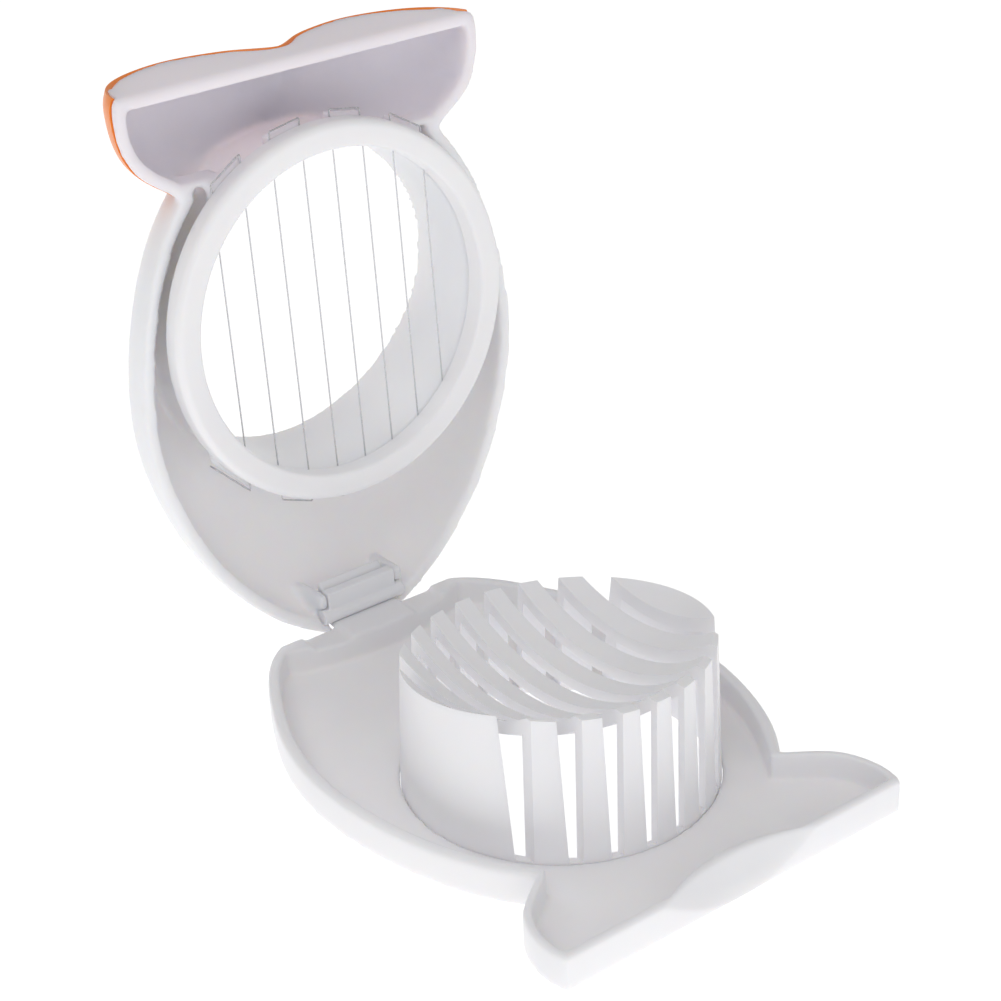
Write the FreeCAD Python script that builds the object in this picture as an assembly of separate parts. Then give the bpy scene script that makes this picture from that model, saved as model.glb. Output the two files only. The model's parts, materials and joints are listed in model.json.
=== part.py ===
import FreeCAD, Part
import math
import os

# Fish-shaped egg slicer, millimetres, +Z up, +X from the nose (hinge) to the tail.
# The origin lies on the table under the nose block, on the centre line.
# The lid is drawn shut and then turned about the hinge to its open rest position.

V = FreeCAD.Vector

# --- overall -----------------------------------------------------------------
LENGTH = 110.8            # hinge axis to the straight tail end
WIDTH = 83.0              # across the widest part of the body
DRAWN_LENGTH = 110.8      # the outline's stations are given at this length and width
DRAWN_WIDTH = 83.0
TRAY_HEIGHT = 7.0
LID_GAP = 0.3             # between tray and lid, shut

# --- hinge -------------------------------------------------------------------
LID_RIM_Z = TRAY_HEIGHT + LID_GAP
HINGE_X = -5.0            # hinge axis, behind the origin
HINGE_ABOVE_RIM = 0.8
HINGE_Z = LID_RIM_Z + HINGE_ABOVE_RIM
OPEN_ANGLE = 93.8         # lid opening at rest, degrees
BAR_RADIUS = 1.6          # round part of the hinge bar
BAR_RUNNING = 0.05        # radial clearance of the bar in the claw
BAR_BLADE = 1.2           # thickness of the bar's blade
BAR_REACH = 4.9           # blade length from the axis
BAR_LIP = 1.6             # length of the thick edge of the blade
BAR_LIP_HEIGHT = 2.5      # thickness of that edge
EAR_GAP = 15.8            # between the two ears
EAR_THICKNESS = 2.0
EAR_HEIGHT = 8.7          # ears above the lid's rim
EAR_SEAT = 0.02           # radial clearance of the bar in the ears
BAR_END_SKIN = 0.4        # ear left outside each end of the bar
CLAW_WIDTH = 14.8
CLAW_WALL = 1.5
CLAW_GAP = 0.35           # between claw and lid
CLAW_FROM = 114.0         # claw arc, degrees from +X towards +Z
CLAW_TO = 318.0
FINGER = [(-2.0, 1.8), (-2.7, 3.0), (-2.6, 4.2), (-4.1, 5.6), (-5.0, 3.9), (-3.9, 2.4), (-2.75, 1.2)]
WINDOW_RADIUS = 7.6       # round the hinge axis, swept clear for the claw

# --- fish outline: distance from the hinge axis, half width --------------------
TRAY_BODY = [(3.5, 23.4), (8.0, 27.5), (18.0, 33.4), (30.0, 38.6), (45.0, 41.5), (60.0, 40.8),
             (75.0, 37.1), (86.0, 31.7)]
NECK = (90.6, 28.2)
TAIL = [(94.0, 32.8), (97.0, 36.0), (101.5, 38.2), (106.5, 38.9)]
TAIL_HALF = 38.0          # at the straight tail end

# --- base tray ----------------------------------------------------------------
TRAY_FLOOR = 1.4
TRAY_WALL = 2.4
TAIL_WALL = 1.7
TRAY_NOSE_X = 1.45        # flat back of the tray, from the hinge axis
TRAY_NOSE_HALF = 20.4
NOSE_WALL_X = 8.6         # inner face of the nose block
NOSE_WALL_RADIUS = 55.0
EAR_RECESS = 1.0          # step beside the nose block, under the ears
EAR_RECESS_HALF = 15.5
NOTCH_DEPTH = 3.6         # finger notch in the tail wall, at the rim
NOTCH_HALF = 18.0
RIM_ROUND = 0.9

# --- cradle -------------------------------------------------------------------
BORE_RADIUS = 31.2        # ring and sleeve, which pass over the cradle
CRADLE_X = 62.7           # centre of cradle and ring, from the hinge axis
CRADLE_FOOT_ROOM = 1.9    # between bore and cradle, at the foot
CRADLE_TOP_ROOM = 3.0     # and at the top
CRADLE_FOOT_RADIUS = BORE_RADIUS - CRADLE_FOOT_ROOM
CRADLE_TOP_RADIUS = BORE_RADIUS - CRADLE_TOP_ROOM
CRADLE_HEIGHT = 29.8
CRADLE_WALL = 1.6
CRADLE_SEAT = 0.05        # radial clearance in the tray
DISH_RADIUS = 44.0
DISH_BOTTOM_Z = 17.1
DISH_OFFSET = -5.0        # deepest point, from the cradle centre
SLAT_THICKNESS = 2.2
SLOT_FOOT_WIDTH = 2.1
SLOT_TOP_WIDTH = 3.5

# --- wires and ring -------------------------------------------------------------
WIRE_COUNT = 8
WIRE_PITCH = 6.52
WIRE_RADIUS = 0.15
WIRE_HOLE = 0.05          # clearance round a wire in the ring
WIRE_DROP = 1.3           # wire plane under the lid's rim, lid shut
WIRE_Z = LID_RIM_Z - WIRE_DROP
RING_WIDTH = 5.0
RING_OUTER = BORE_RADIUS + RING_WIDTH
RING_DEPTH = 4.2
RING_FRONT_Z = WIRE_Z - RING_DEPTH
RING_ROUND = 1.5          # outer edge of the ring's front
RING_BORE_ROUND = 0.6
LACE_PROUD = 1.0          # where the wires turn, outside the ring
LACE_RADIUS = RING_OUTER + LACE_PROUD
TAB_DEPTH = 2.2           # tabs that the wire is laced round
TAB_TOP_Z = WIRE_Z + TAB_DEPTH
TAB_OVERHANG = 0.5        # tab past its two wires, sideways

# --- lid ------------------------------------------------------------------------
# Lid, drawn shut. Stations: x, half width, rise above the rim, depth of the middle valley.
LID_BODY = [(-5.3, 3.2, 4.0, 0.0), (-4.3, 7.6, 7.0, 0.0), (-2.3, 11.2, 9.4, 0.0), (0.0, 15.1, 11.4, 0.0),
            (8.0, 24.3, 16.0, 0.0), (18.0, 32.0, 20.0, 0.0), (30.0, 37.7, 22.2, 0.0), (45.0, 41.4, 22.5, 0.0),
            (60.0, 40.8, 21.6, 0.0), (75.0, 37.1, 19.4, 0.0), (86.0, 31.7, 17.2, 0.0),
            (90.6, 28.2, 16.0, 0.0), (93.0, 26.3, 15.0, 0.0)]
LID_TAIL = [(86.0, 22.0, 13.0, 0.02), (90.6, 28.2, 15.8, 0.04), (94.0, 32.8, 16.8, 0.1),
            (97.0, 36.0, 17.1, 0.2), (101.5, 38.2, 17.3, 0.32), (106.5, 38.9, 17.3, 0.44),
            (DRAWN_LENGTH, TAIL_HALF, 17.3, 0.51)]
BODY_ARCH = (2.5, 0.4)    # (1 - across ** first) ** second
TAIL_ARCH = (4.0, 0.5)
CREASE_WIDTH = 23.0
ARCH_STEPS = 12
CORNER_INSET = 0.7        # share of a wall by which the tail's corner moves in sideways
TOUCH = 0.001
LID_WALL = 2.6
TAIL_LID_WALL = 2.4
NOSE_INNER_X = -4.6        # front end of the ears
SLEEVE_WALL = 1.9
COVER_WALL = 1.2
COVER_GAP = 0.05
COVER_EDGE = 0.2          # what is left of the cover at its mitred end
MITRE_DEPTH = 2.4
MITRE_STEPS = 3
COVER_PAST_NECK = 0.8     # front end of the cover
RIM_LIP = 1.8             # white lip under the tail cover
BOSS_RADIUS = 1.7         # round bosses inside the tail's end wall
BOSS_HEIGHT = 0.9
BOSS_HALF_SPACING = 21.0
BOSS_ABOVE_RIM = 3.7
NOSE_BAND = 1.8           # height of the band under the window
RIB_THICKNESS = 1.2
RIB_FROM_RING = 29.3      # webs beside the first tabs, from the ring's centre
RIB_OVERLAP = 4.1         # web inside the last wire
RIB_DEPTH = 6.0


def stretched(stations):
    """Stations of the outline at the length and width that are set."""
    return [(s[0] * LENGTH / DRAWN_LENGTH, s[1] * WIDTH / DRAWN_WIDTH) + tuple(s[2:]) for s in stations]


def at(x, y, z):
    """Point given from the hinge axis in x and from the table in z."""
    return V(HINGE_X + x, y, z)


def spline(points):
    curve = Part.BSplineCurve()
    curve.interpolate(points)
    return curve.toShape()


def line(start, end):
    return Part.LineSegment(start, end).toShape()


def inset(points, distance):
    """Move an open outline inwards, square to itself."""
    moved = []
    for i, (x, y) in enumerate(points):
        x0, y0 = points[max(i - 1, 0)]
        x1, y1 = points[min(i + 1, len(points) - 1)]
        length = math.hypot(x1 - x0, y1 - y0)
        moved.append((x + distance * (y1 - y0) / length, y - distance * (x1 - x0) / length))
    return moved


def upright(radius, x, bottom, top, y=0.0):
    """Round bar on a vertical axis."""
    return Part.makeCylinder(radius, top - bottom, at(x, y, bottom))


def box(x0, x1, y0, y1, z0, z1):
    return Part.makeBox(x1 - x0, y1 - y0, z1 - z0, at(x0, y0, z0))


def both_sides(shape):
    """The shape and its mirror image across the centre line."""
    return shape.fuse(shape.mirror(V(0, 0, 0), V(0, 1, 0)))


def tray_plan(wall, tail_wall):
    """Plan of the tray with its outline moved in by the wall."""
    body = inset([(TRAY_NOSE_X, TRAY_NOSE_HALF)] + stretched(TRAY_BODY + [NECK]), wall)[:-1]
    tail = inset(stretched([NECK] + TAIL + [(DRAWN_LENGTH, TAIL_HALF)]), tail_wall)[1:-1]
    neck_x, neck_half = stretched([NECK])[0]
    neck = (neck_x, neck_half - wall)
    end_half = stretched([(0, TAIL_HALF)])[0][1]
    corner = (LENGTH - tail_wall, end_half - tail_wall * CORNER_INSET)
    edges = []
    for side in (1, -1):
        edges.append(spline([at(x, side * y, 0) for x, y in body + [neck]]))
        edges.append(spline([at(x, side * y, 0) for x, y in [neck] + tail + [corner]]))
    for x, y in (body[0], corner):
        edges.append(line(at(x, y, 0), at(x, -y, 0)))
    return Part.Face(Part.Wire(Part.__sortEdges__(edges)))


def slab(face, bottom, top):
    solid = face.extrude(V(0, 0, top - bottom))
    solid.translate(V(0, 0, bottom))
    return solid


def notch(depth):
    """Cone that scoops the tail wall: deepest at the rim, nothing at the table."""
    rim_radius = (NOTCH_HALF ** 2 + depth ** 2) / (2 * depth)
    centre = LENGTH - depth + rim_radius
    return Part.makeCone(rim_radius - depth, rim_radius, TRAY_HEIGHT, at(centre, 0, 0))


def ring_sector(inner, outer, start, end, width):
    """Part of a ring about the hinge axis, angles from +X towards +Z."""
    def on(radius, angle):
        turn = math.radians(angle)
        return V(HINGE_X + radius * math.cos(turn), -width / 2, HINGE_Z + radius * math.sin(turn))
    middle = (start + end) / 2
    edges = [
        Part.Arc(on(outer, start), on(outer, middle), on(outer, end)).toShape(),
        line(on(outer, end), on(inner, end)),
        Part.Arc(on(inner, end), on(inner, middle), on(inner, start)).toShape(),
        line(on(inner, start), on(outer, start)),
    ]
    return Part.Face(Part.Wire(edges)).extrude(V(0, width, 0))


def hinge_profile(points, width):
    """Prism across the hinge from points given from its axis."""
    corners = [V(HINGE_X + x, -width / 2, HINGE_Z + z) for x, z in points]
    return Part.Face(Part.makePolygon(corners + [corners[0]])).extrude(V(0, width, 0))


def about_hinge(radius, width):
    """Round bar on the hinge axis."""
    return Part.makeCylinder(radius, width, V(HINGE_X, -width / 2, HINGE_Z), V(0, 1, 0))


def claw():
    """Arc round the bar and a finger with a barb above it."""
    inner = BAR_RADIUS + BAR_RUNNING
    arc = ring_sector(inner, inner + CLAW_WALL, CLAW_FROM, CLAW_TO, CLAW_WIDTH)
    return arc.fuse(hinge_profile(FINGER, CLAW_WIDTH))


def base_tray():
    """Drip tray with rim, nose block, hinge claw and finger notch."""
    outer = slab(tray_plan(0, 0), 0, TRAY_HEIGHT)
    rim = [e for e in outer.Edges if e.BoundBox.ZMin > TRAY_HEIGHT - TOUCH]
    outer = outer.makeFillet(RIM_ROUND, rim)
    outer = outer.cut(notch(NOTCH_DEPTH))
    hollow = slab(tray_plan(TRAY_WALL, TAIL_WALL), TRAY_FLOOR, TRAY_HEIGHT)
    hollow = hollow.cut(upright(NOSE_WALL_RADIUS, NOSE_WALL_X - NOSE_WALL_RADIUS, 0, TRAY_HEIGHT))
    hollow = hollow.cut(notch(NOTCH_DEPTH + TAIL_WALL))
    tray = outer.cut(hollow)
    step = box(0, NOSE_WALL_X, CLAW_WIDTH / 2, EAR_RECESS_HALF, TRAY_HEIGHT - EAR_RECESS, TRAY_HEIGHT)
    tray = tray.cut(both_sides(step))
    seat = CRADLE_FOOT_RADIUS + CRADLE_SEAT
    bar_room = about_hinge(BAR_RADIUS + BAR_RUNNING, CLAW_WIDTH)
    tray = tray.cut([upright(seat, CRADLE_X, 0, TRAY_FLOOR), bar_room])
    return tray.fuse(claw()).removeSplitter()


def wire_y(number):
    """Side position of a wire, numbered from 1."""
    return (number - (WIRE_COUNT + 1) / 2) * WIRE_PITCH


def dish(thickness):
    """Ball that hollows the cradle's top, or its underside when thickness is added."""
    centre = at(CRADLE_X + DISH_OFFSET, 0, DISH_BOTTOM_Z + DISH_RADIUS)
    return Part.makeSphere(DISH_RADIUS + thickness, centre)


def drum(inset_by):
    foot = CRADLE_FOOT_RADIUS - inset_by
    return Part.makeCone(foot, CRADLE_TOP_RADIUS - inset_by, CRADLE_HEIGHT, at(CRADLE_X, 0, 0))


def slot(y):
    """Slot for one wire, along the whole cradle and a little wider at the top."""
    start = at(CRADLE_X - CRADLE_FOOT_RADIUS - 1, y, 0)
    foot = SLOT_FOOT_WIDTH / 2
    top = SLOT_TOP_WIDTH / 2
    above = CRADLE_HEIGHT + 1
    corners = [V(0, -foot, TRAY_FLOOR), V(0, foot, TRAY_FLOOR), V(0, top, above), V(0, -top, above)]
    section = Part.makePolygon([start.add(corner) for corner in corners + [corners[0]]])
    return Part.Face(section).extrude(V(2 * CRADLE_FOOT_RADIUS + 2, 0, 0))


def egg_cradle():
    """Hollow slotted drum with a dished top; its foot ring fills the hole in the tray."""
    room = drum(CRADLE_WALL).cut(dish(SLAT_THICKNESS))
    shell = drum(0).cut(dish(0)).cut(room)
    return shell.cut([slot(wire_y(number)) for number in range(1, WIRE_COUNT + 1)])


def arch(half, rise, crease, shape):
    """Right half of a cross-section, from the rim to the crown, with a valley along the middle."""
    flat, root = shape
    points = []
    for i in range(ARCH_STEPS + 1):
        across = 1 - (i / ARCH_STEPS) ** 2
        y = half * across
        valley = crease * max(0, 1 - y / CREASE_WIDTH) ** 2
        points.append((y, LID_RIM_Z + rise * (1 - across ** flat) ** root * (1 - valley)))
    return points


def flat_face(edges):
    return Part.Face(Part.Wire(Part.__sortEdges__(edges)))


def hull(stations, shape):
    """Solid form through arches, each given as x, half width, rise and crease depth."""
    skin = Part.BSplineSurface()
    skin.interpolate([[at(s[0], y, z) for y, z in arch(s[1], s[2], s[3], shape)] for s in stations])
    right = skin.toShape()
    left = right.mirror(V(0, 0, 0), V(0, 1, 0))
    faces = [right, left]
    rim = [e for face in faces for e in face.Edges if e.BoundBox.ZMax < LID_RIM_Z + TOUCH]
    for x, half in ((s[0], s[1]) for s in (stations[0], stations[-1])):
        across = line(at(x, -half, LID_RIM_Z), at(x, half, LID_RIM_Z))
        ends = [e for face in faces for e in face.Edges
                if e.BoundBox.XLength < TOUCH and abs(e.BoundBox.XMin - HINGE_X - x) < TOUCH]
        faces.append(flat_face(ends + [across]))
        rim.append(across)
    faces.append(flat_face(rim))
    shell = Part.makeShell(faces)
    shell.sewShape()
    solid = Part.Solid(shell)
    if solid.Volume < 0:
        solid.reverse()
    return solid


def thinner(stations, wall):
    """Stations of the same form with its skin moved in by wall."""
    plan = inset([(s[0], s[1]) for s in stations], wall)
    return [(x, y, s[2] - wall, s[3]) for (x, y), s in zip(plan, stations)]


def body_hull(wall):
    return hull(thinner(stretched(LID_BODY), wall), BODY_ARCH)


def tail_hull(wall):
    full = stretched(LID_TAIL)
    stations = thinner(full, wall)
    end = stations[-1]
    stations[-1] = (LENGTH - wall, full[-1][1] - wall * CORNER_INSET, end[2], end[3])
    return hull(stations, TAIL_ARCH)


def hinge_ears():
    """Two ribs inside the nose that hold the bar."""
    inner = EAR_GAP / 2
    top = LID_RIM_Z + EAR_HEIGHT
    side = box(NOSE_INNER_X, BAR_REACH, inner, inner + EAR_THICKNESS, LID_RIM_Z, top)
    return both_sides(side)


def neck_ribs():
    """Short webs that tie the outer tabs to the lid's side walls at the neck."""
    x = CRADLE_X + RIB_FROM_RING
    start = wire_y(WIRE_COUNT) - RIB_OVERLAP
    return both_sides(box(x, x + RIB_THICKNESS, start, WIDTH / 2, LID_RIM_Z, LID_RIM_Z + RIB_DEPTH))


def lacing_tab(first, direction):
    """Block outside the sleeve that the wire turns round, from one wire to the next."""
    reach = LACE_RADIUS - WIRE_RADIUS - WIRE_HOLE
    low = wire_y(first) - TAB_OVERHANG
    high = wire_y(first + 1) + TAB_OVERHANG
    corners = [(math.sqrt(reach ** 2 - low ** 2), low), (math.sqrt(reach ** 2 - high ** 2), high),
               (math.sqrt(BORE_RADIUS ** 2 - min(high ** 2, BORE_RADIUS ** 2)), high),
               (math.sqrt(BORE_RADIUS ** 2 - min(low ** 2, BORE_RADIUS ** 2)), low)]
    points = [at(CRADLE_X + direction * x, y, WIRE_Z) for x, y in corners]
    return Part.Face(Part.makePolygon(points + [points[0]])).extrude(V(0, 0, TAB_TOP_Z - WIRE_Z))


def end_bosses():
    centre = at(LENGTH - TAIL_LID_WALL - BOSS_HEIGHT, BOSS_HALF_SPACING, LID_RIM_Z + BOSS_ABOVE_RIM)
    return both_sides(Part.makeCylinder(BOSS_RADIUS, TAIL_LID_WALL, centre, V(1, 0, 0)))


def tail_core():
    """The tail under its cover; its end wall flares out to a mitre at the full outline."""
    full = stretched(LID_TAIL)
    end = full[-1]
    flare = []
    for step in range(MITRE_STEPS + 1):
        depth = MITRE_DEPTH * (1 - step / MITRE_STEPS)
        edge = depth + COVER_EDGE
        flare.append((LENGTH - depth, end[1] - edge, end[2] - edge, end[3]))
    under = thinner(full, COVER_WALL + COVER_GAP)
    under[-1] = (LENGTH - COVER_WALL / 2, under[-1][1], under[-1][2], end[3])
    return hull(under, TAIL_ARCH).fuse(hull(flare, TAIL_ARCH))


def lid_form():
    """Outer form of the white shell: body, tail rim and the tail's core."""
    lip = tail_hull(0).cut(box(0, LENGTH + 1, -LENGTH, LENGTH, LID_RIM_Z + RIM_LIP, LENGTH))
    return body_hull(0).fuse([lip, tail_core()])


def lid_shell():
    """White shell with its sleeve, lacing tabs, hinge ears and claw window."""
    form = lid_form()
    shell = form.cut([body_hull(LID_WALL), tail_hull(TAIL_LID_WALL)])
    below = upright(BORE_RADIUS + SLEEVE_WALL, CRADLE_X, WIRE_Z, LID_RIM_Z)
    sleeve = upright(BORE_RADIUS + SLEEVE_WALL, CRADLE_X, LID_RIM_Z, LENGTH).common(form)
    extras = [sleeve.fuse(below), hinge_ears().common(form), neck_ribs().common(form), end_bosses()]
    extras += [lacing_tab(first, 1) for first in range(1, WIRE_COUNT, 2)]
    extras += [lacing_tab(first, -1) for first in range(0, WIRE_COUNT + 1, 2)]
    shell = shell.fuse(extras)
    bore = upright(BORE_RADIUS, CRADLE_X, 0, LENGTH)
    window = about_hinge(WINDOW_RADIUS, EAR_GAP)
    window = window.cut(box(-WINDOW_RADIUS, 0, -EAR_GAP, EAR_GAP, 0, LID_RIM_Z + NOSE_BAND))
    claw_room = about_hinge(BAR_RADIUS + BAR_RUNNING + CLAW_WALL + CLAW_GAP, EAR_GAP)
    seat = about_hinge(BAR_RADIUS + EAR_SEAT, EAR_GAP + 2 * EAR_THICKNESS)
    return shell.cut([bore, window, claw_room, seat] + wire_channels()).removeSplitter()


def tail_cover():
    """Orange outer skin of the tail; it ends in a mitre at the white end wall."""
    sleeve = upright(BORE_RADIUS + SLEEVE_WALL + COVER_GAP, CRADLE_X, 0, LENGTH)
    skin = tail_hull(0).cut([tail_core(), body_hull(-COVER_GAP), sleeve])
    start = stretched([NECK])[0][0] + COVER_PAST_NECK
    return skin.common(box(start, LENGTH, -LENGTH, LENGTH, LID_RIM_Z + RIM_LIP + COVER_GAP, LENGTH))


def wire_channels():
    """Bores for the wires through ring and sleeve."""
    bores = []
    for number in range(1, WIRE_COUNT + 1):
        y = wire_y(number)
        start = at(CRADLE_X - LACE_RADIUS, y, WIRE_Z)
        bores.append(Part.makeCylinder(WIRE_RADIUS + WIRE_HOLE, 2 * LACE_RADIUS, start, V(1, 0, 0)))
    return bores


def wire_ring():
    """Front ring, clamped on the sleeve's end with the wires between."""
    ring = upright(RING_OUTER, CRADLE_X, RING_FRONT_Z, WIRE_Z).cut(upright(BORE_RADIUS, CRADLE_X, 0, LENGTH))
    front = [e for e in ring.Edges if e.BoundBox.ZMax < RING_FRONT_Z + TOUCH]
    outer = [e for e in front if e.BoundBox.XLength > BORE_RADIUS + RING_OUTER]
    ring = ring.makeFillet(RING_ROUND, outer)
    front = [e for e in ring.Edges if e.BoundBox.ZMax < RING_FRONT_Z + TOUCH]
    bore = [e for e in front if e.BoundBox.XLength < BORE_RADIUS * 2 + TOUCH]
    ring = ring.makeFillet(RING_BORE_ROUND, bore)
    return ring.cut(wire_channels())


def hinge_bar():
    """Round bar with a flat blade whose far edge is thicker."""
    seat_reach = EAR_THICKNESS - BAR_END_SKIN
    width = EAR_GAP + 2 * seat_reach
    rod = about_hinge(BAR_RADIUS, width)
    half = EAR_GAP / 2
    blade = box(0, BAR_REACH, -half, half, LID_RIM_Z, LID_RIM_Z + BAR_BLADE)
    lip = box(BAR_REACH - BAR_LIP, BAR_REACH, -half, half, LID_RIM_Z, LID_RIM_Z + BAR_LIP_HEIGHT)
    return rod.fuse([blade, lip]).removeSplitter()


def lacing_end(number, direction):
    """Where a wire leaves the ring: direction +1 at the tail side, -1 at the nose side."""
    y = wire_y(number)
    return at(CRADLE_X + direction * math.sqrt(LACE_RADIUS ** 2 - y ** 2), y, WIRE_Z)


def rod_between(start, end, radius):
    span = end.sub(start)
    return Part.makeCylinder(radius, span.Length, start, span)


def cutting_wire(number):
    """One taut run across the bore, out through the ring on both sides."""
    return rod_between(lacing_end(number, -1), lacing_end(number, 1), WIRE_RADIUS)


def wire_end(number, beyond):
    """End of the lacing: a flat loop round the last tab at the nose side."""
    out = V(-2 * WIRE_RADIUS - WIRE_HOLE, 0, 0)
    back = V(0, 0, TAB_TOP_Z - WIRE_Z + 2 * WIRE_RADIUS)
    start = lacing_end(number, -1).add(out)
    end = lacing_end(beyond, -1).add(out)
    corners = [start, end, end.add(back), start.add(back)]
    sides = []
    for i in range(len(corners)):
        sides.append(rod_between(corners[i], corners[(i + 1) % len(corners)], WIRE_RADIUS))
        sides.append(Part.makeSphere(WIRE_RADIUS, corners[i]))
    return sides[0].fuse(sides[1:])


def wire_returns(pairs, direction):
    """Short runs outside the ring between neighbouring wires."""
    runs = []
    for first in pairs:
        start = lacing_end(first, direction)
        end = lacing_end(first + 1, direction)
        out = V(direction * (2 * WIRE_RADIUS + WIRE_HOLE), 0, 0)
        runs.append(rod_between(start.add(out), end.add(out), WIRE_RADIUS))
    return Part.makeCompound(runs)


def opened(shape):
    """Turn a lid piece from shut to its rest position."""
    turned = shape.copy()
    turned.rotate(V(HINGE_X, 0, HINGE_Z), V(0, 1, 0), -OPEN_ANGLE)
    return turned


base_parts = {"base_tray": base_tray(), "egg_cradle": egg_cradle()}
lid_parts = {
    "lid_shell": lid_shell(),
    "tail_cover": tail_cover(),
    "wire_ring": wire_ring(),
    "hinge_bar": hinge_bar(),
}
for wire_number in range(1, WIRE_COUNT + 1):
    lid_parts["cutting_wire_%d" % wire_number] = cutting_wire(wire_number)
lid_parts["wire_returns_tail"] = wire_returns(range(1, WIRE_COUNT, 2), 1)
lid_parts["wire_returns_nose"] = wire_returns(range(2, WIRE_COUNT, 2), -1)
lid_parts["wire_end_left"] = wire_end(1, 0)
lid_parts["wire_end_right"] = wire_end(WIRE_COUNT, WIRE_COUNT + 1)

os.makedirs("parts", exist_ok=True)
for node, shape in base_parts.items():
    shape.exportStep("parts/%s.step" % node)
for node, shape in lid_parts.items():
    opened(shape).exportStep("parts/%s.step" % node)
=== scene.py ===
import json
import math
import bpy
import bmesh
import numpy as np
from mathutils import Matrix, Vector


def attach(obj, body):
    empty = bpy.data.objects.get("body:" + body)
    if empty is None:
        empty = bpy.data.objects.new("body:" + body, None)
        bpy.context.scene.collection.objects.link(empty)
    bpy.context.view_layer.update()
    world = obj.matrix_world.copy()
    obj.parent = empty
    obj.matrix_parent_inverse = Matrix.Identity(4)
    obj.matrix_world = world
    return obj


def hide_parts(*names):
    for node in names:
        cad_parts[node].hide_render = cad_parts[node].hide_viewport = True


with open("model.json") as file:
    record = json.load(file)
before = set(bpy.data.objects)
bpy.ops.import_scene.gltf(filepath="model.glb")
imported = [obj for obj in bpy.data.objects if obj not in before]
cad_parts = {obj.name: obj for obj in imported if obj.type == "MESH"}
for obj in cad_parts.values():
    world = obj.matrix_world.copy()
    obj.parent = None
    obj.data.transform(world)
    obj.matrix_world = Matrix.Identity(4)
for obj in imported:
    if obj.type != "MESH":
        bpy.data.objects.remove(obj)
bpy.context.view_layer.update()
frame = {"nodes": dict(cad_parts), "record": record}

scene = bpy.context.scene
scene.view_settings.view_transform = "Standard"

# --- camera ---------------------------------------------------------------------
# A long lens above the tray's tail corner, looking down along the slicer to its
# hinge. It leans by a degree or two, as a hand-held camera does.
eye = bpy.data.cameras.new("eye")
eye.lens = 83.4
eye.sensor_width = 36.0
eye.shift_x = -0.0061
eye.shift_y = 0.0608
eye.clip_start = 0.01
camera = bpy.data.objects.new("camera", eye)
camera.location = (0.3308, -0.2176, 0.2429)
camera.rotation_euler = (math.radians(60.40), math.radians(1.67), math.radians(51.92))
scene.collection.objects.link(camera)
scene.camera = camera

# --- studio ---------------------------------------------------------------------
# A white paper sweep, an even white sky and three broad soft lamps: a key above and
# to the left, a low one in front that lights the lid's inside, and one behind.
paper_edge = 4.0
paper_drop = -0.0002
paper_mesh = bpy.data.meshes.new("paper_sweep")
paper_corners = [(-paper_edge, -paper_edge), (paper_edge, -paper_edge), (paper_edge, paper_edge),
                 (-paper_edge, paper_edge)]
paper_mesh.from_pydata([(x, y, paper_drop) for x, y in paper_corners], [], [(0, 1, 2, 3)])
paper = bpy.data.materials.new("matt_paper")
paper.use_nodes = True
paper_shader = paper.node_tree.nodes["Principled BSDF"]
paper_shader.inputs["Base Color"].default_value = (0.95, 0.95, 0.95, 1)
paper_shader.inputs["Roughness"].default_value = 0.9
paper_shader.inputs["Specular IOR Level"].default_value = 0.1
paper_shader.inputs["Emission Color"].default_value = (1.0, 1.0, 1.0, 1)
paper_shader.inputs["Emission Strength"].default_value = 0.50
paper_mesh.materials.append(paper)
paper_sweep = bpy.data.objects.new("paper_sweep", paper_mesh)
scene.collection.objects.link(paper_sweep)

sky = bpy.data.worlds.new("white_sky")
sky.use_nodes = True
sky.node_tree.nodes["Background"].inputs["Color"].default_value = (1.0, 1.0, 1.0, 1)
sky.node_tree.nodes["Background"].inputs["Strength"].default_value = 0.45
scene.world = sky
lit_middle = Vector((0.04, 0.0, 0.04))


def soft_lamp(name, place, size, power):
    """Square lamp at a place, turned to face the middle of the slicer."""
    light = bpy.data.lights.new(name, "AREA")
    light.size = size
    light.energy = power
    lamp = bpy.data.objects.new(name, light)
    lamp.location = place
    lamp.rotation_euler = (lit_middle - Vector(place)).to_track_quat("-Z", "Y").to_euler()
    scene.collection.objects.link(lamp)


soft_lamp("key_lamp", (0.35, -0.45, 0.70), 0.45, 1.0)
soft_lamp("front_lamp", (0.80, -0.10, 0.22), 0.60, 1.1)
soft_lamp("back_lamp", (-0.50, -0.20, 0.60), 0.40, 0.7)


# --- white plastic --------------------------------------------------------------
# The tray, cradle, shell, ring and bar are moulded in one white plastic. It lets a
# little light through, has a soft gloss, and its skin has a very fine mould grain.
def mottled(name, scale, detail, dark, light, spread, gloss):
    """Finish whose colour and gloss both drift with one soft noise.

    The noise runs from dark to light over the two shares in spread, and its roughness
    goes from the first to the second number in gloss."""
    finish = bpy.data.materials.new(name)
    finish.use_nodes = True
    nodes = finish.node_tree.nodes
    links = finish.node_tree.links
    shader = nodes["Principled BSDF"]
    place = nodes.new("ShaderNodeTexCoord")
    flow = nodes.new("ShaderNodeTexNoise")
    flow.inputs["Scale"].default_value = scale
    flow.inputs["Detail"].default_value = detail
    links.new(place.outputs["Object"], flow.inputs["Vector"])
    tint = nodes.new("ShaderNodeValToRGB")
    for stop, colour, share in zip(tint.color_ramp.elements, (dark, light), spread):
        stop.color = colour
        stop.position = share
    links.new(flow.outputs["Fac"], tint.inputs["Fac"])
    links.new(tint.outputs["Color"], shader.inputs["Base Color"])
    sheen = nodes.new("ShaderNodeMapRange")
    sheen.inputs["To Min"].default_value = gloss[0]
    sheen.inputs["To Max"].default_value = gloss[1]
    links.new(flow.outputs["Fac"], sheen.inputs["Value"])
    links.new(sheen.outputs["Result"], shader.inputs["Roughness"])
    return finish


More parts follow.
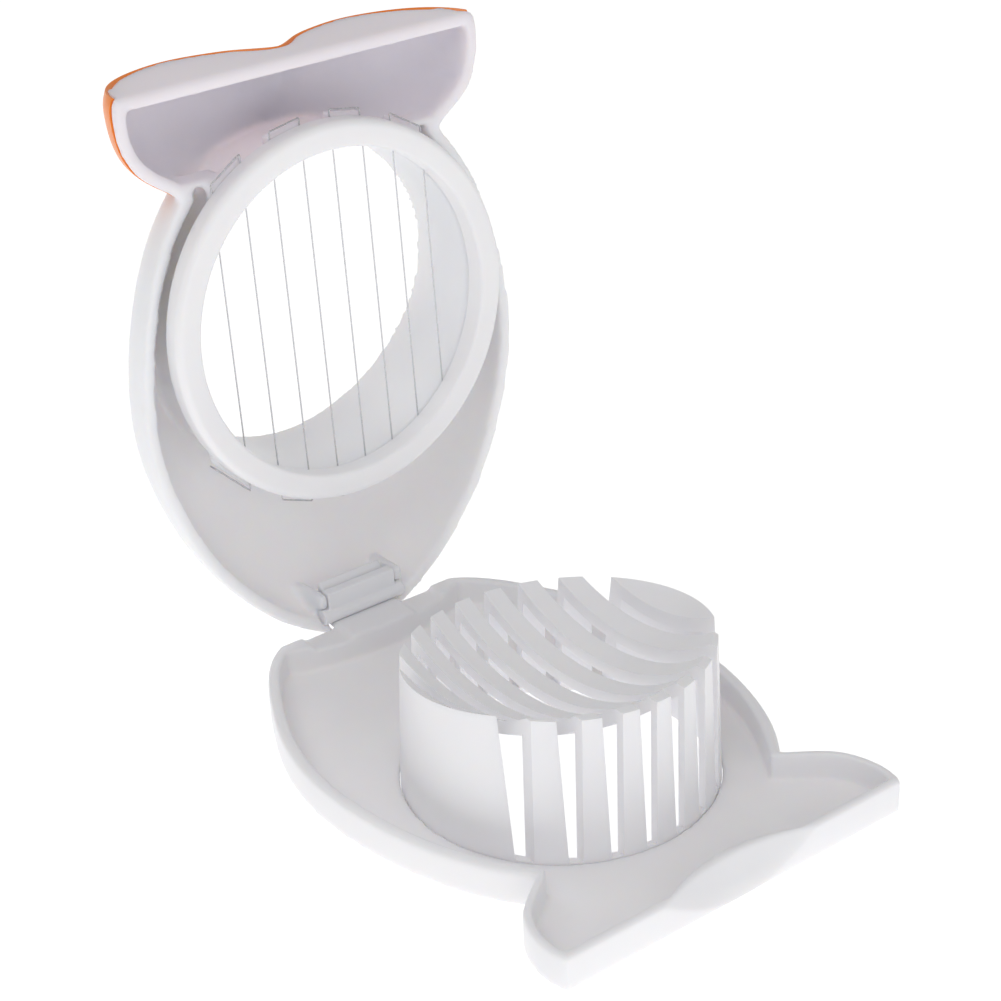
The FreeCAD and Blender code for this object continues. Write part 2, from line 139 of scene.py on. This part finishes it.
def grained(finish, strength):
    """Fine mould grain on a finish: a dense noise that only tilts the surface."""
    nodes = finish.node_tree.nodes
    links = finish.node_tree.links
    place = nodes.new("ShaderNodeTexCoord")
    grain = nodes.new("ShaderNodeTexNoise")
    grain.inputs["Scale"].default_value = 2600.0
    grain.inputs["Detail"].default_value = 2.0
    links.new(place.outputs["Object"], grain.inputs["Vector"])
    skin = nodes.new("ShaderNodeBump")
    skin.inputs["Strength"].default_value = strength
    skin.inputs["Distance"].default_value = 0.0001
    links.new(grain.outputs["Fac"], skin.inputs["Height"])
    links.new(skin.outputs["Normal"], nodes["Principled BSDF"].inputs["Normal"])


def translucent(finish, weight, radius, scale):
    """Light that enters the plastic and leaves it nearby, further in red than in blue."""
    shader = finish.node_tree.nodes["Principled BSDF"]
    shader.inputs["Subsurface Weight"].default_value = weight
    shader.inputs["Subsurface Radius"].default_value = radius
    shader.inputs["Subsurface Scale"].default_value = scale


white_dark = (0.895, 0.888, 0.912, 1)
white_light = (0.925, 0.920, 0.942, 1)
white_reach = (1.0, 0.80, 0.62)
moulded_spread = (0.3, 0.7)


def white_plastic(name, weight, scale):
    """Cold white with faint flow marks, a soft gloss and some translucency."""
    finish = mottled(name, 45.0, 3.0, white_dark, white_light, moulded_spread, (0.30, 0.42))
    grained(finish, 0.06)
    translucent(finish, weight, white_reach, scale)
    finish.node_tree.nodes["Principled BSDF"].inputs["Specular IOR Level"].default_value = 0.45
    return finish


white = white_plastic("white_plastic", 0.30, 0.0025)
merge_reach = 1e-6
relax_share = 0.5


def eased(node, voxel, passes, name):
    """Copy of a node rebuilt on an even grid of voxel size and relaxed.

    Each pass moves every point half-way to the mean of its neighbours, which eases
    the edges."""
    mesh = frame["nodes"][node].data.copy()
    form = bmesh.new()
    form.from_mesh(mesh)
    bmesh.ops.remove_doubles(form, verts=form.verts, dist=merge_reach)
    form.to_mesh(mesh)
    form.free()
    rough = bpy.data.objects.new(name, mesh)
    scene.collection.objects.link(rough)
    grid = rough.modifiers.new("grid", "REMESH")
    grid.mode = "VOXEL"
    grid.voxel_size = voxel
    relax = rough.modifiers.new("relax", "SMOOTH")
    relax.factor = relax_share
    relax.iterations = passes
    bpy.context.view_layer.update()
    rebuilt = rough.evaluated_get(bpy.context.evaluated_depsgraph_get())
    shape = bpy.data.meshes.new_from_object(rebuilt)
    rough.modifiers.clear()
    rough.data = shape
    shape.materials.clear()
    shape.shade_smooth()
    return rough


# --- tray -----------------------------------------------------------------------
# One moulding: the fish-shaped drip tray with its rim, the block at the nose and the
# claw that holds the hinge bar.
tray = eased("base_tray", 0.00045, 8, "tray")
tray.data.materials.append(white)
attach(tray, "base")
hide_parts("base_tray")

# --- cradle ---------------------------------------------------------------------
# Hollow slotted drum that carries the egg. A slot under each wire lets it run
# right through the egg.
for cradle_slot in frame["nodes"]["egg_cradle"].material_slots:
    cradle_slot.material = white

# --- lid shell ------------------------------------------------------------------
# The fish's body as a thin shell, with the sleeve round its bore, the tabs that the
# wire is laced round, and the two hinge ears. The pink cast of the orange cover's light
# shining through the thin tail is painted into its white, a tint that grows towards the tail.
shell = eased("lid_shell", 0.0006, 8, "shell")
shell_white = white_plastic("shell_plastic", 0.6, 0.005)
shell_nodes = shell_white.node_tree.nodes
shell_links = shell_white.node_tree.links
shell_shader = shell_nodes["Principled BSDF"]
lid_hinge = frame["record"]["behaviour"]["joints"][0]
hinge = Vector(lid_hinge["pos_m"])
open_turn = math.radians(lid_hinge["range_deg"][1])
tail_from = 0.088
tail_full = 0.096
shell_place = shell_nodes.new("ShaderNodeTexCoord")
along_lid = shell_nodes.new("ShaderNodeVectorMath")
along_lid.operation = "DOT_PRODUCT"
along_lid.inputs[1].default_value = (math.cos(open_turn), 0.0, math.sin(open_turn))
shell_links.new(shell_place.outputs["Object"], along_lid.inputs[0])
hinge_along = hinge.x * math.cos(open_turn) + hinge.z * math.sin(open_turn)
into_tail = shell_nodes.new("ShaderNodeMapRange")
into_tail.interpolation_type = "SMOOTHSTEP"
into_tail.inputs["From Min"].default_value = hinge_along + tail_from
into_tail.inputs["From Max"].default_value = hinge_along + tail_full
shell_links.new(along_lid.outputs["Value"], into_tail.inputs["Value"])
# Painted glow: the white's colour is multiplied towards pink across the tail, standing in for light
# that the orange cover sends through the thin wall.
painted_glow_tint = shell_nodes.new("ShaderNodeMix")
painted_glow_tint.data_type = "RGBA"
painted_glow_tint.blend_type = "MULTIPLY"
plain_tint = shell_shader.inputs["Base Color"].links[0].from_socket
shell_links.new(into_tail.outputs["Result"], painted_glow_tint.inputs["Factor"])
shell_links.new(plain_tint, painted_glow_tint.inputs["A"])
painted_glow_tint.inputs["B"].default_value = (1.0, 0.925, 0.955, 1)
shell_links.new(painted_glow_tint.outputs["Result"], shell_shader.inputs["Base Color"])
shell.data.materials.append(shell_white)
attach(shell, "lid")
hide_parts("lid_shell")

# --- hinge bar ------------------------------------------------------------------
# Round bar with a flat blade, held by the ears and gripped by the tray's claw.
bar = eased("hinge_bar", 0.00015, 4, "bar")
bar.data.materials.append(white)
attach(bar, "lid")
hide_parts("hinge_bar")

# --- tail cover -----------------------------------------------------------------
# Orange skin over the fish's tail, moulded apart and pressed on. It shows as a thin
# bright edge from inside and as the whole dome of the tail from behind.
orange_dark = (0.94, 0.235, 0.020, 1)
orange_light = (1.0, 0.285, 0.036, 1)
orange_reach = (1.0, 0.35, 0.10)
orange = mottled("orange_plastic", 60.0, 4.0, orange_dark, orange_light, moulded_spread, (0.24, 0.36))
grained(orange, 0.05)
translucent(orange, 0.2, orange_reach, 0.002)
for cover_slot in frame["nodes"]["tail_cover"].material_slots:
    cover_slot.material = orange

# --- wire ring ------------------------------------------------------------------
# White ring fixed on the sleeve's end, with the wires between. Its face is flat, with
# a wide easing outside and a small one round the bore.
ring_along = 0.0627
ring_outer = 0.0362
ring_bore = 0.0312
ring_face = 0.0018
ring_back = 0.0060
ring_easings = (0.0006, 0.0015, 0.00025, 0.00025)
easing_steps = 8
ring_turns = 240


def opened(points):
    """Points of the shut lid, x from the hinge and z from the table, turned open.

    Each is rotated about the hinge's axis by the angle that the lid stands open."""
    along = points[:, 0]
    above = points[:, 2] - hinge.z
    turned = np.empty_like(points)
    turned[:, 0] = hinge.x + along * math.cos(open_turn) - above * math.sin(open_turn)
    turned[:, 1] = points[:, 1]
    turned[:, 2] = hinge.z + along * math.sin(open_turn) + above * math.cos(open_turn)
    return turned


def eased_outline(corners, radii, steps):
    """Closed outline with its corners rounded.

    Each corner gives way to a circular arc that touches both its sides: the arc's
    centre lies on the corner's bisector, radius / sin(half angle) away."""
    runs = []
    for i, (corner, radius) in enumerate(zip(corners, radii)):
        corner = np.array(corner)
        before = np.array(corners[i - 1]) - corner
        after = np.array(corners[(i + 1) % len(corners)]) - corner
        before /= np.linalg.norm(before)
        after /= np.linalg.norm(after)
        half = math.acos(np.clip(before @ after, -1, 1)) / 2
        bisector = (before + after) / np.linalg.norm(before + after)
        centre = corner + bisector * radius / math.sin(half)
        first = corner + before * radius / math.tan(half) - centre
        last = corner + after * radius / math.tan(half) - centre
        share = np.linspace(0, 1, steps)[:, None]
        sweep = math.pi - 2 * half
        arc = (np.sin((1 - share) * sweep) * first + np.sin(share * sweep) * last) / math.sin(sweep)
        runs.append(centre + arc)
    return np.vstack(runs)


def skin_mesh(name, rows, closed_rows):
    """Mesh over a grid of points, closed along each row and, if asked, from last row to first."""
    count, width = rows.shape[:2]
    first = np.arange(count if closed_rows else count - 1)[:, None]
    left = np.arange(width)[None, :]
    next_row = (first + 1) % count
    right = (left + 1) % width
    quads = np.stack([first * width + left, first * width + right, next_row * width + right,
                      next_row * width + left], axis=-1).reshape(-1, 4)
    mesh = bpy.data.meshes.new(name)
    faces = quads.tolist()
    if not closed_rows:
        faces.append(list(range(width))[::-1])
        faces.append(list(range((count - 1) * width, count * width)))
    mesh.from_pydata(rows.reshape(-1, 3).tolist(), [], faces)
    form = bmesh.new()
    form.from_mesh(mesh)
    bmesh.ops.recalc_face_normals(form, faces=form.faces)
    form.to_mesh(mesh)
    form.free()
    mesh.shade_smooth()
    piece = bpy.data.objects.new(name, mesh)
    scene.collection.objects.link(piece)
    return piece


ring_corners = [(ring_bore, ring_face), (ring_outer, ring_face), (ring_outer, ring_back),
                (ring_bore, ring_back)]
ring_section = eased_outline(ring_corners, ring_easings, easing_steps)
ring_angle = np.linspace(0, 2 * math.pi, ring_turns, endpoint=False)[:, None]
ring_grid = np.stack([ring_along + ring_section[:, 0] * np.cos(ring_angle),
                      ring_section[:, 0] * np.sin(ring_angle),
                      ring_section[:, 1] * np.ones_like(ring_angle)], axis=-1)
ring_points = opened(ring_grid.reshape(-1, 3)).reshape(ring_grid.shape)
ring = skin_mesh("ring", ring_points, True)
ring.data.materials.append(white)
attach(ring, "lid")
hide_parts("wire_ring")

# --- cutting wires --------------------------------------------------------------
# One stainless wire is laced back and forth across the bore. Its eight taut runs are
# the blades, drawn bright, with a faint mottle.
steel_dark = (0.50, 0.50, 0.52, 1)
steel_light = (0.68, 0.68, 0.70, 1)
steel = mottled("drawn_steel", 900.0, 3.0, steel_dark, steel_light, (0.0, 1.0), (0.18, 0.34))
steel.node_tree.nodes["Principled BSDF"].inputs["Metallic"].default_value = 1.0
wire_count = 8
for number in range(1, wire_count + 1):
    for wire_slot in frame["nodes"]["cutting_wire_%d" % number].material_slots:
        wire_slot.material = steel

# --- lacing turns ---------------------------------------------------------------
# Outside the ring the same wire turns round small tabs from one run to the next, and
# at each end it is finished with a flat loop round the last tab.
wire_pitch = 0.00652
wire_radius = 0.00015
wire_level = 0.0060
lace_radius = 0.0372
lace_step = 0.00035
turn_radius = 0.0004
tab_depth = 0.0022
turn_steps = 7
tube_sides = 10


def wire_side(number):
    """Side position of a wire, numbered from 1 across the bore."""
    return (number - (wire_count + 1) / 2) * wire_pitch


def lace_point(number, side):
    """Point where a wire leaves the tabs: on the lacing circle at the wire's side."""
    across = wire_side(number)
    return np.array([ring_along + side * math.sqrt(lace_radius ** 2 - across ** 2), across, wire_level])


def wire_run(corners, closed):
    """Path with its corners rounded.

    A corner gives way to the parabola through its two neighbours a turn_radius off."""
    path = []
    last = len(corners) - 1
    for i, corner in enumerate(corners):
        if not closed and i in (0, last):
            path.append(corner[None, :])
            continue
        before = corners[i - 1] - corner
        after = corners[(i + 1) % len(corners)] - corner
        first = corner + before / np.linalg.norm(before) * turn_radius
        end = corner + after / np.linalg.norm(after) * turn_radius
        share = np.linspace(0, 1, turn_steps)[:, None]
        path.append((1 - share) ** 2 * first + 2 * share * (1 - share) * corner + share ** 2 * end)
    return np.vstack(path)


def wire_tube(name, path, up, closed):
    """Round tube along a flat path.

    Each point's circle is spanned by the path's own side direction and by up, which
    stands square to the whole path."""
    if closed:
        heading = np.roll(path, -1, axis=0) - np.roll(path, 1, axis=0)
    else:
        heading = np.gradient(path, axis=0)
    heading /= np.linalg.norm(heading, axis=1)[:, None]
    sideways = np.cross(heading, up)
    sideways /= np.linalg.norm(sideways, axis=1)[:, None]
    angle = np.linspace(0, 2 * math.pi, tube_sides, endpoint=False)[None, :, None]
    circle = wire_radius * (np.cos(angle) * sideways[:, None, :] + np.sin(angle) * up[None, None, :])
    points = path[:, None, :] + circle
    return skin_mesh(name, opened(points.reshape(-1, 3)).reshape(points.shape), closed)


def joined(name, pieces):
    """One object from several."""
    form = bmesh.new()
    for piece in pieces:
        form.from_mesh(piece.data)
        bpy.data.objects.remove(piece)
    mesh = bpy.data.meshes.new(name)
    form.to_mesh(mesh)
    form.free()
    mesh.shade_smooth()
    whole = bpy.data.objects.new(name, mesh)
    scene.collection.objects.link(whole)
    return whole


square_to_wires = np.array([0.0, 0.0, 1.0])
returns = (("returns_tail", range(1, wire_count, 2), 1, "wire_returns_tail"),
           ("returns_nose", range(2, wire_count, 2), -1, "wire_returns_nose"))
for name, firsts, side, node in returns:
    runs = []
    for first in firsts:
        start = lace_point(first, side)
        end = lace_point(first + 1, side)
        out = np.array([side * lace_step, 0.0, 0.0])
        path = wire_run([start, start + out, end + out, end], False)
        runs.append(wire_tube(name, path, square_to_wires, False))
    turned = joined(name, runs)
    turned.data.materials.append(steel)
    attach(turned, "lid")
    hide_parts(node)

for name, number, beyond, node in (("end_loop_left", 1, 0, "wire_end_left"),
                                   ("end_loop_right", wire_count, wire_count + 1, "wire_end_right")):
    out = np.array([-lace_step, 0.0, 0.0])
    deep = np.array([0.0, 0.0, tab_depth + 2 * wire_radius])
    start = lace_point(number, -1) + out
    end = lace_point(beyond, -1) + out
    across_tab = (end - start) / np.linalg.norm(end - start)
    square_to_loop = np.cross(across_tab, deep / np.linalg.norm(deep))
    path = wire_run([start, end, end + deep, start + deep], True)
    loop = wire_tube(name, path, square_to_loop, True)
    loop.data.materials.append(steel)
    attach(loop, "lid")
    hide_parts(node)
